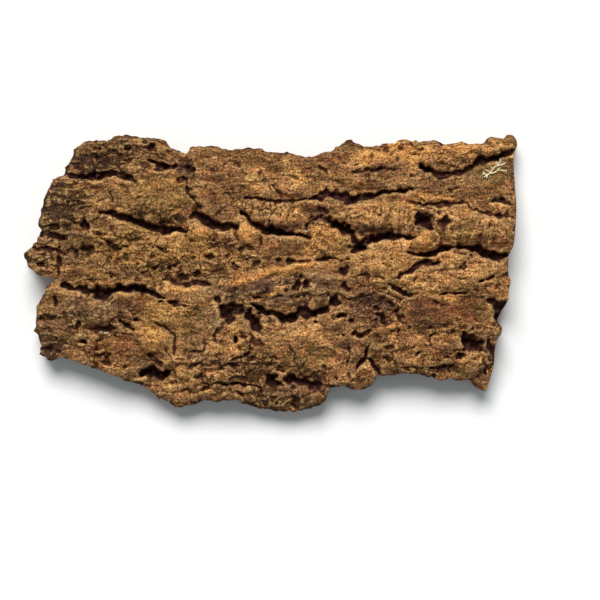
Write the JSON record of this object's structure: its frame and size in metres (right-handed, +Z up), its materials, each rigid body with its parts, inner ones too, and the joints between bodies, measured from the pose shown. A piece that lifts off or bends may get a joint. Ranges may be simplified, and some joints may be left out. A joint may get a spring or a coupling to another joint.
{
  "type": "cork bark slab",
  "caption": "Slab of cork oak bark, 300 mm long, outer face up with deep lengthwise fissures and ochre plates, and a small cream lichen sprig",
  "frame": {"origin": "centre of the slab's box in plan, on the ground it rests on", "axes": "X along the grain toward the sawn end, Y across the grain, Z up out of the outer face"},
  "size_m": [0.3001, 0.1698, 0.0365],
  "materials": {
    "cork_bark": "rough, weathered, matte",
    "lichen": "dry, matte"
  },
  "bodies": {
    "root": {"cork_bark": "cork_bark", "lichen_sprig": "lichen"}
  },
  "joints": []
}
